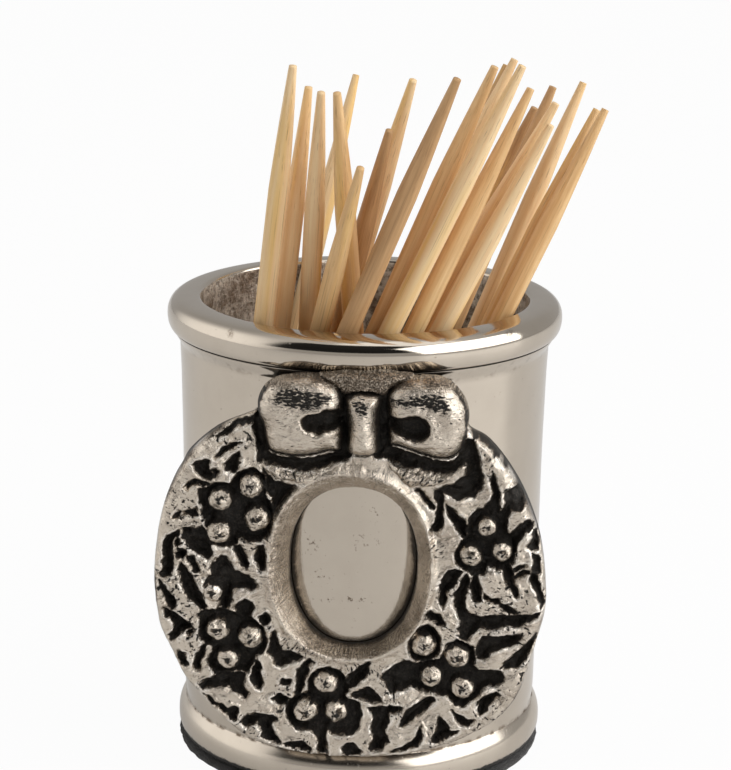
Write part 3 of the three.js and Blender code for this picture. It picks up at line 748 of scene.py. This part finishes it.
def make_cup(polished, inside_metal):
    outside, rows = len(CUP_OUTSIDE_CURVE), np.vstack([CUP_OUTSIDE_CURVE, CUP_INSIDE_CURVE])
    turn, height = np.meshgrid(circle_angles(CUP_SEGMENTS), rows[:, 1])
    round_way = turn * MOUTH_RADIUS
    seam = 2 * np.pi * MOUTH_RADIUS
    blend = smoothstep(0, seam, round_way)
    lumps = (1 - blend) * waves(round_way, height, CAST_LUMPS)
    lumps += blend * waves(round_way - seam, height, CAST_LUMPS)
    fade = smoothstep(*CAST_HEIGHTS[1], height) * smoothstep(*CAST_HEIGHTS[0], height)
    wave = noise(np.cos(turn) * 9, np.sin(turn) * 9 + height * 0.25, 4.0, 3)
    rough = -CAST_ROUGHNESS * (lumps * 0.5 + 0.5) * fade
    radius = rows[:, :1] + np.where(np.arange(len(rows))[:, None] >= outside, rough, SKIN_WAVE * wave)
    rings = np.stack([radius * np.cos(turn), radius * np.sin(turn), height], axis=-1).reshape(-1, 3)
    points = np.vstack([rings, [[0, 0, rows[0, 1]], [0, 0, rows[-1, 1]]]])
    faces = turned_faces(len(rows), CUP_SEGMENTS)
    piece = add_piece("cast_cup", points, faces, polished, inside_metal)
    ends = (len(rows) - 1) * CUP_SEGMENTS
    slots = np.zeros(len(faces), np.int32)
    slots[(outside - 1) * CUP_SEGMENTS:ends] = 1
    slots[ends + 1::2] = 1
    piece.data.polygons.foreach_set("material_index", slots)
    place(piece, "holder", "cast_nickel", "cup")


# Wreath and bow


def back_surface(u, v):
    """The back's distance: flat where it stands free, and just off the cup's wall in the middle."""
    skin = np.interp(v, CUP_OUTSIDE_CURVE[:, 1], CUP_OUTSIDE_CURVE[:, 0])
    return np.maximum(BACK_DISTANCE, np.sqrt(np.clip(skin**2 - u**2, 0, None)) + CUP_GAP)


def oval_radius(u, v, centre, half):
    """1 on a slightly square oval, less inside it."""
    across, up = np.abs(u - centre[0]) / half[0], np.abs(v - centre[1]) / half[1]
    return (across**OVAL_SQUARENESS + up**OVAL_SQUARENESS) ** (1 / OVAL_SQUARENESS)


def pillow(distance, rounding):
    """0 at an outline to 1 further in, rising like a quarter circle."""
    return np.sqrt(np.clip(1 - (1 - np.clip(distance / rounding, 0, 1)) ** 2, 0, 1))


def trace(pixels, distance=TRACE_DISTANCE):
    return smooth_curve(on_wreath_plane(pixels, distance), 4, closed=True)


def trace_bow(pixels):
    """An outline of the bow, whose upper edge rounds away and so lies nearer the cup than its lower edge."""
    low_share = smoothstep(*BOW_TOP_ROWS, np.array(pixels[1::2], float))
    return trace(pixels, BOW_TOP_DISTANCE + (BOW_TRACE_DISTANCE - BOW_TOP_DISTANCE) * low_share)


def inside_wreath(points):
    """Distance inside the outline of wreath and bow, and outside the window, negative elsewhere."""
    bow = [trace_bow(p) for p in (LEFT_LOOP_PIXELS, RIGHT_LOOP_PIXELS, KNOT_PIXELS, BRIDGE_PIXELS)]
    inside = distance_inside(points, [trace(WREATH_OUTLINE_PIXELS, OUTLINE_DISTANCE), *bow])
    window = (oval_radius(*points.T, WINDOW_CENTRE, WINDOW_HALF) - 1) * np.mean(WINDOW_HALF)
    return np.minimum(inside, window)


def paint(look, where, **values):
    """Gives the marked points another surface, or other values of what the material uses."""
    for name, value in values.items():
        look[name] = np.where(where, value, look[name])


def leaf_look(points, bent, tooth, patches):
    """The plate with its leaves and the hollows between them."""
    u, v = points.T
    outline = signed_distance(points, trace(WREATH_OUTLINE_PIXELS, OUTLINE_DISTANCE))
    hollow = np.full(len(points), -LEAF_ROUNDING)
    for pixels in HOLLOW_PIXELS:
        shape = on_wreath_plane(pixels, TRACE_DISTANCE)
        low, high = shape.min(0) - LEAF_ROUNDING, shape.max(0) + LEAF_ROUNDING
        near = np.all((points > low) & (points < high), axis=1)
        hollow[near] = np.maximum(hollow[near], signed_distance(bent[near], shape))
    surface = LAND_DISTANCE - LEAF_DOME * (1 - pillow(-hollow, LEAF_ROUNDING))
    surface += waves(u, v, LEAF_WAVES)
    surface += BURR * (1 + 0.7 * noise(u, v, 1.2, 37)) * bell(hollow, -0.25, 0.2)
    surface -= (LAND_DISTANCE - LEAF_DOME - GROUND_DISTANCE) * smoothstep(-0.05, HOLLOW_SLOPE, hollow)
    surface += 0.2 * smoothstep(0.1, 0.5, hollow) * noise(u, v, 0.8, 17)
    surface -= EDGE_ROUNDING * (1 - pillow(outline, EDGE_ROUNDING))
    darkening = smoothstep(-0.14, 0.08, hollow + 0.09 * tooth)
    return {
        "surface": surface,
        # in the hollows patina; in patches along the outer edge, painted shade
        "patina": np.maximum(darkening, 0.5 * smoothstep(0.5, 0.1, outline) * patches),
        "rough": np.maximum(patches, smoothstep(-0.75, -0.1, hollow)),
        "pits": 0.42 * smoothstep(0.05, 0.55, noise(u, v, 2.0, 36)),
        # along the hollows' edges: wear, and partly a painted highlight
        "worn": (bell(hollow, -0.2, 0.16)
                 * smoothstep(-0.5, 0.5, noise(u, v, 0.9, 38) + 0.5 * tooth)),
    }


def add_berries(look, u, v, tooth):
    lumps = waves(u, v, BERRY_LUMPS)
    dimples = 0.55 * smoothstep(0.25, 0.65, noise(u, v * 1.6, 0.45, 27))
    bulge = 1 + 0.09 * noise(u, v, 1.0, 39)
    for x, y, radius_pixels in BERRY_PIXELS:
        centre = on_wreath_plane([(x, y)], TRACE_DISTANCE)[0]
        radius = radius_pixels / PIXELS_PER_MM
        share = np.hypot(u - centre[0], (v - centre[1]) * BERRY_SQUASH) * bulge / radius
        ball = BERRY_TOP - radius + lumps + radius * np.sqrt(np.clip(1 - share**2, 0, None))
        dents = dimples * smoothstep(0.75, 0.4, share)
        paint(look, (share < 1) & (ball > look["surface"]), surface=ball - BERRY_DENT * dents,
              patina=np.maximum(smoothstep(0.8, 0.98, share + 0.13 * tooth), dents),
              rough=0.35 + 0.4 * smoothstep(0.6, 0.9, share), pits=0.15 + 0.7 * smoothstep(0.6, 0.1, share))


def add_window(look, u, v):
    """The crest round the window, and the slope from it down to the cup's wall."""
    inner = oval_radius(u, v, WINDOW_CENTRE, WINDOW_HALF)
    outer = oval_radius(u, v, CREST_CENTRE, CREST_HALF)
    crest = LAND_DISTANCE + CREST_HEIGHT
    away = np.maximum((outer - 1) * np.mean(CREST_HALF), 0)
    keep = bell(away, 0, CREST_WIDTH)
    surface = look["surface"]
    paint(look, outer > 1, surface=surface * (1 - keep) + np.maximum(crest, surface) * keep,
          patina=look["patina"] * smoothstep(0.2, 0.75, away))
    foot = back_surface(u, v) + WINDOW_STEP
    run = np.clip((inner - 1) / np.maximum(inner - outer, 1e-6), 0, 1)
    rise = 0.16 * smoothstep(0, 0.08, run) + 0.84 * (1 - (1 - run) ** 1.25)
    around = np.arctan2(v - WINDOW_CENTRE[1], u - WINDOW_CENTRE[0]) * WINDOW_HALF[0]
    scratches = 0.05 * noise(around, run * 2, 0.35, 28) + 0.06 * noise(u, v, 0.8, 29)
    # brown over the slope, and darker at its foot, where it meets the cup's wall
    darkening = 0.24 + 0.12 * noise(u, v, 0.9, 30) + 0.5 * smoothstep(0.1, 0.0, run)
    paint(look, outer < 1, surface=foot + (crest - foot) * rise + scratches, patina=darkening, rough=0.8,
          worn=0, pits=0)


def add_tails(look, bent, tooth):
    inside = distance_inside(bent, [trace(LEFT_TAIL_PIXELS), trace(RIGHT_TAIL_PIXELS)])
    rise = (TAIL_TOP - GROUND_DISTANCE) * pillow(inside, TAIL_ROUNDING)
    paint(look, (rise > 0.1) & (GROUND_DISTANCE + rise > look["surface"]), surface=GROUND_DISTANCE + rise,
          patina=smoothstep(0.7, 0.2, rise + 0.12 * tooth), rough=0.85, pits=0.45)


def add_bow(look, points, bent, tooth, patches):
    """The bridge between the loops, then the loops with their eyes, and the knot."""
    u, v = points.T
    bow = inside_bow = np.full(len(points), -9.0)
    parts = ((LEFT_LOOP_PIXELS, LOOP_TOP, LOOP_ROUNDING), (RIGHT_LOOP_PIXELS, LOOP_TOP, LOOP_ROUNDING),
             (KNOT_PIXELS, KNOT_TOP, KNOT_ROUNDING))
    for pixels, top, rounding in parts:
        inside = signed_distance(points, trace_bow(pixels))
        form = BOW_LOW_DISTANCE + (top - BOW_LOW_DISTANCE) * pillow(inside, rounding)
        bow = np.where(inside > 0, np.maximum(bow, form), bow)
        inside_bow = np.maximum(inside_bow, inside)
    eye = distance_inside(bent, [trace(p, LOOP_TOP) for p in (LEFT_EYE_PIXELS, RIGHT_EYE_PIXELS)])
    band = smoothstep(-0.4, 0.35, distance_inside(bent, [trace(p, LOOP_TOP) for p in ROUGH_BAND_PIXELS]))
    bow = bow - EYE_DEPTH * smoothstep(-0.15, 0.55, eye) + 0.12 * bell(eye, -0.35, 0.3) - 0.08 * band
    bow = bow + 0.08 * noise(u, v, 1.1, 31) + 0.03 * noise(u * 0.6, v, 0.35, 32)
    on_bow = inside_bow > 0

    inside_bridge = signed_distance(points, trace_bow(BRIDGE_PIXELS))
    on_bridge = (inside_bridge > 0) & ~on_bow
    folds = 0.16 * noise(u * 0.35, v + 0.06 * u**2, 0.45, 35)
    bridge = (BRIDGE_TOP - GROUND_DISTANCE) * pillow(inside_bridge, LOOP_ROUNDING) + folds
    paint(look, on_bridge, surface=BRIDGE_LOW_DISTANCE + smoothstep(*BRIDGE_RISE_HEIGHTS, v) * bridge,
          patina=1 - 0.56 * smoothstep(*BRIDGE_CLEAN_HEIGHTS, v + 0.1 * tooth), rough=0.7, pits=0.2, worn=0)

    crown = smoothstep(*CROWN_HEIGHTS, v + 0.3 * noise(u, v, 1.6, 40))
    low_edge = smoothstep(0.55, 0.1, inside_bow + 0.08 * tooth) * (0.8 - 0.42 * crown)
    eye_dark = smoothstep(-0.08, 0.22, eye + 0.05 * tooth)
    # painted reflection: the bow's top is browner, for the dark rim's underside mirrored in it
    crown_dark_reflection = crown * (0.4 + 0.16 * noise(u * 0.4, v, 0.4, 41))
    paint(look, on_bow, surface=bow, patina=np.maximum.reduce([low_edge, eye_dark, crown_dark_reflection]),
          rough=np.maximum(0.4 + 0.2 * patches, band), pits=np.maximum(band, 0.12), worn=0)
    return on_bow, on_bow | on_bridge, crown


def wreath_look(points):
    """Front surface, and the values that the material uses, at points across and up the wreath's plane."""
    u, v = points.T
    bent = points + EDGE_WARP * np.stack([waves(u, v, rows) for rows in EDGE_WAVES], axis=1)
    tooth = waves(u, v, TOOTH_WAVES)
    patches = smoothstep(-0.15, 0.45, noise(u, v, 2.4, 18))
    look = leaf_look(points, bent, tooth, patches)
    add_berries(look, u, v, tooth)
    add_window(look, u, v)
    add_tails(look, bent, tooth)
    on_bow, on_ribbon, crown = add_bow(look, points, bent, tooth, patches)
    look["surface"] += (0.03 + 0.05 * look["rough"]) * tooth * (1 - 0.8 * crown * on_bow)
    round_window = np.arctan2(WINDOW_CENTRE[0] - u, WINDOW_CENTRE[1] - v) * CREST_HALF[0]
    from_window = np.hypot(u - WINDOW_CENTRE[0], v - WINDOW_CENTRE[1])
    flat = np.zeros(len(points))
    look["strokes"] = np.where(on_ribbon, [u, v, flat], [from_window, round_window, flat]).T
    return look


def wreath_grid():
    """Points across and up the wreath's plane, the squares between them, and the edges of its rims."""
    grid = np.meshgrid(np.arange(-WREATH_REACH, WREATH_REACH + 0.01, GRID_STEP),
                       np.arange(WREATH_LOW, WREATH_HIGH, GRID_STEP), indexing="ij")
    points = np.stack(grid, axis=-1).reshape(-1, 2)
    kept = (inside_wreath(points) > 0).reshape(grid[0].shape)
    index = np.arange(len(points)).reshape(kept.shape)
    corners = [(slice(None, -1), slice(None, -1)), (slice(1, None), slice(None, -1)),
               (slice(1, None), slice(1, None)), (slice(None, -1), slice(1, None))]
    whole = np.logical_and.reduce([kept[c] for c in corners])
    used, quads = np.unique(np.stack([index[c][whole] for c in corners], axis=1), return_inverse=True)
    points, quads = points[used], quads.reshape(-1, 4)

    edges = np.stack([quads, np.roll(quads, -1, axis=1)], axis=-1).reshape(-1, 2)
    keys = edges.min(1) * len(used) + edges.max(1)
    _, where, counts = np.unique(keys, return_inverse=True, return_counts=True)
    rim_edges = edges[counts[where.ravel()] == 1]

    # the rims' points move on to the true outlines
    rim = np.unique(rim_edges)
    at, step = points[rim], 0.02
    for _ in range(2):
        here = inside_wreath(at)
        slope = np.stack([inside_wreath(at + way) - here for way in ([step, 0], [0, step])], axis=1) / step
        slope /= np.maximum(np.linalg.norm(slope, axis=1, keepdims=True), 0.3)
        at = at - slope * np.clip(here, -0.2, 0.2)[:, None]
    points[rim] = at
    return points, quads, rim_edges


def make_wreath(metal):
    points, quads, rim_edges = wreath_grid()
    look = wreath_look(points)
    front = np.maximum(look.pop("surface"), back_surface(*points.T) + THINNEST)
    # the back is drawn down behind the bow, so that its top rounds away from the viewer
    drawn = points - np.array([0, 1]) * BACK_DRAFT * smoothstep(*BACK_DRAFT_HEIGHTS, points[:, 1:])

    def in_space(at, distance):
        return at[:, :1] * ACROSS + distance[:, None] * OUTWARD + at[:, 1:] * np.array([0, 0, 1])

    count = len(points)
    walls = [(b, a, a + count, b + count) for a, b in rim_edges.tolist()]
    corners = np.vstack([in_space(points, front), in_space(drawn, back_surface(*drawn.T))])
    faces = quads.tolist() + (quads[:, ::-1] + count).tolist() + walls
    piece = add_piece("cast_wreath", corners, faces, metal)
    for name, values in look.items():
        back = np.full(count, BACK_LOOK[name]) if name in BACK_LOOK else values
        point_attribute(piece, name, np.concatenate([values, back]))
    place(piece, "holder", "wreath_nickel", "wreath")


# Base pad


def make_base_pad(felt):
    low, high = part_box("base_pad")
    radius, top = (high.x - low.x) / 2 / MM, high.z / MM
    angle = circle_angles(PAD_SIDES)
    x, y = np.cos(angle), np.sin(angle)
    rings = []
    for i, (share, rise) in enumerate(PAD_ROWS):
        r = radius * share + PAD_ROUGHNESS * (noise(x * 30, y * 30 + i * 3, 1.3, 51) - 1)
        height = np.full(PAD_SIDES, rise * top)
        if rise == 1:
            height += PAD_LIFT * noise(x * 30, y * 30, 2.1, 52)
        rings.append(np.stack([r * x, r * y, height], axis=1))
    points = np.vstack([*rings, [[0, 0, 0], [0, 0, top]]])
    piece = add_piece("felt_pad", points, turned_faces(len(PAD_ROWS), PAD_SIDES), felt)
    place(piece, "holder", "felt", "base_pad")


# Toothpicks


def pick_line(node, axis):
    """The middle of a toothpick's foot, in millimetres, and its direction."""
    direction = np.array(axis) / np.linalg.norm(axis)
    corners = np.array([v.co[:] for v in node.data.vertices]) / MM
    along = corners @ direction
    foot_ring = corners[along < along.min() + 0.01]
    return (foot_ring.max(0) + foot_ring.min(0)) / 2, direction


def make_pick(joint, slot, wood, seed):
    rng = np.random.default_rng(seed)
    name = joint["child"]
    foot, direction = pick_line(frame["nodes"][name], joint["axis"])
    side = np.cross(direction, [0, 0, 1.0])
    side /= np.linalg.norm(side)
    other = np.cross(direction, side)
    whole = PICK_LENGTH - PICK_SHORTER.get(name, 0)
    ends = PICK_TAPER * (1 - np.cos(np.linspace(0, np.pi / 2, PICK_TAPER_RINGS)))
    middle = np.linspace(PICK_TAPER, whole - PICK_TAPER, PICK_RINGS)[1:-1]
    along = np.concatenate([ends, middle, whole - ends[::-1]])
    reach = np.clip(np.minimum(along, whole - along) / PICK_TAPER, 0, 1)
    growth = 0.75 * reach + 0.25 * np.sin(reach * np.pi / 2) ** 0.9
    radius = PICK_FIT * (PICK_POINT_RADIUS + (PICK_RADIUS - PICK_POINT_RADIUS) * growth)
    turn, length = np.meshgrid(circle_angles(PICK_SIDES), along)
    flute = noise(np.cos(turn) * 1.5 + seed * 7, np.sin(turn) * 1.5 + length * 0.02, 0.55, 61)
    facet = np.cos(turn * rng.integers(5, 8) + rng.uniform(0, 6))
    r = radius[:, None] * (1 + FLUTE_DEPTH * flute - FACET_DEPTH * np.abs(facet))
    x, y = r * np.cos(turn), r * np.sin(turn)
    rings = foot + length[..., None] * direction + x[..., None] * side + y[..., None] * other
    points = np.vstack([rings.reshape(-1, 3), [foot, foot + whole * direction]])
    faces = [face[::-1] for face in turned_faces(len(along), PICK_SIDES)]
    piece = add_piece(name.replace("toothpick", "wooden_pick"), points, faces, wood)
    grain = np.vstack([np.stack([x, y, length * GRAIN_STRETCH], axis=-1).reshape(-1, 3),
                       [[0, 0, 0], [0, 0, whole * GRAIN_STRETCH]]])
    point_attribute(piece, "grain", grain + rng.uniform(0, 100, 3))
    place(piece, name, slot, name)


# Floor, light and world


def make_floor():
    mesh = bpy.data.meshes.new("floor")
    corners = [(x * FLOOR_HALF, y * FLOOR_HALF, 0) for x, y in ((-1, -1), (1, -1), (1, 1), (-1, 1))]
    mesh.from_pydata(corners, [], [(0, 1, 2, 3)])
    floor = add_object("floor", mesh)
    shader = Shader("pale_floor")
    shader.set(color=FLOOR_COLOR, roughness=0.35, specular=0.5)
    shares = {"Is Camera Ray": 0.96, "Is Glossy Ray": 0.25, "Is Transmission Ray": 0.96}
    seen, glossy, through = (shader.times(shader.node("ShaderNodeLightPath", output=ray), share)
                             for ray, share in shares.items())
    share = shader.most(shader.most(seen, glossy), through)
    glow = shader.node("ShaderNodeEmission", {"Color": WHITE, "Strength": 1.0})
    mixed = shader.node("ShaderNodeMixShader", {0: share, 1: shader.principled.outputs[0], 2: glow})
    shader.feed(shader.tree.nodes["Material Output"].inputs["Surface"], mixed)
    mesh.materials.append(shader.material)


def direction(azimuth, elevation):
    """A direction from two angles in degrees; azimuth 0 is the front, and 90 the viewer's right."""
    a, e = math.radians(azimuth), math.radians(elevation)
    return Vector((math.sin(a) * math.cos(e), -math.cos(a) * math.cos(e), math.sin(e)))


def area_light(name, azimuth, elevation, distance, width, height, power):
    """A soft box that faces the holder."""
    outward = direction(azimuth, elevation)
    data = bpy.data.lights.new(name, "AREA")
    data.shape, data.size, data.size_y, data.energy = "RECTANGLE", width, height, power
    light = add_object(name, data)
    light.location = outward * distance + Vector((0, 0, 0.03))
    light.rotation_mode = "QUATERNION"
    light.rotation_quaternion = outward.to_track_quat("Z", "Y")


def make_world():
    """A plain light studio, with a dark card in front and above that the polished metal mirrors."""
    world = bpy.data.worlds.new("studio")
    world.use_nodes = True
    bpy.context.scene.world = world
    nodes = Nodes(world.node_tree)
    way = nodes.node("ShaderNodeTexCoord", output="Generated")
    x, y, z = (nodes.node("ShaderNodeSeparateXYZ", {0: way}, axis) for axis in "XYZ")
    azimuth = nodes.times(nodes.math("ARCTAN2", x, nodes.times(y, -1)), math.degrees(1))
    height = nodes.times(nodes.math("ARCSINE", z), math.degrees(1))

    def lobe(at_azimuth, at_height, low, high):
        """1 in a direction, falling to 0 away from it, between two cosines."""
        cosine = nodes.vector_math("DOT_PRODUCT", way, direction(at_azimuth, at_height), "Value")
        return nodes.soft_ramp(cosine, low, high)

    def panel(left, right, low, high, soft_left, soft):
        """1 inside a range of azimuths and heights, with soft edges, all in degrees."""
        edges = ((azimuth, left - soft_left, left), (azimuth, right + soft, right),
                 (height, low - soft, low), (height, high + soft, high))
        a, b, c, d = (nodes.soft_ramp(*edge) for edge in edges)
        return nodes.times(nodes.times(a, b), nodes.times(c, d))

    level = 0.42
    left_box = nodes.times(lobe(-95, 14, 0.6, 0.97), 0.85)
    overhead = nodes.times(lobe(40, 80, 0.6, 0.95), 0.22)
    card = panel(left=-50, right=35, low=18, high=64, soft_left=14, soft=3)
    dark_card = nodes.minus(1.0, nodes.times(card, 0.96))
    strength = nodes.times(nodes.add(nodes.add(left_box, overhead), level), dark_card)
    strength = nodes.most(strength, nodes.node("ShaderNodeLightPath", output="Is Camera Ray"))
    background = nodes.tree.nodes["Background"]
    nodes.feed(background.inputs["Color"], WORLD_COLOR)
    nodes.feed(background.inputs["Strength"], strength)


# The scene

make_camera()
make_floor()
make_world()
area_light("key", azimuth=66, elevation=29, distance=0.65, width=0.9, height=0.6, power=4.2)
area_light("top", azimuth=60, elevation=76, distance=0.8, width=0.5, height=0.5, power=0.5)

make_cup(polished_nickel(), cast_inside())
make_wreath(wreath_nickel())
make_base_pad(black_felt())

braze = braze_metal()
for node in ("braze_fillet_left", "braze_fillet_right"):
    frame["nodes"][node].data.materials.clear()
    frame["nodes"][node].data.materials.append(braze)

# woods whose tones are partly painted light and shade on the picks
woods = {name: split_wood(name) for name in WOODS}
slots = {row["node"]: row["material_slot"] for row in frame["record"]["subparts"]}
for seed, joint in enumerate(frame["joints"], start=1):
    slot = slots[joint["child"]]
    make_pick(joint, slot, woods[slot], seed)

bpy.context.scene.view_settings.view_transform = "Standard"
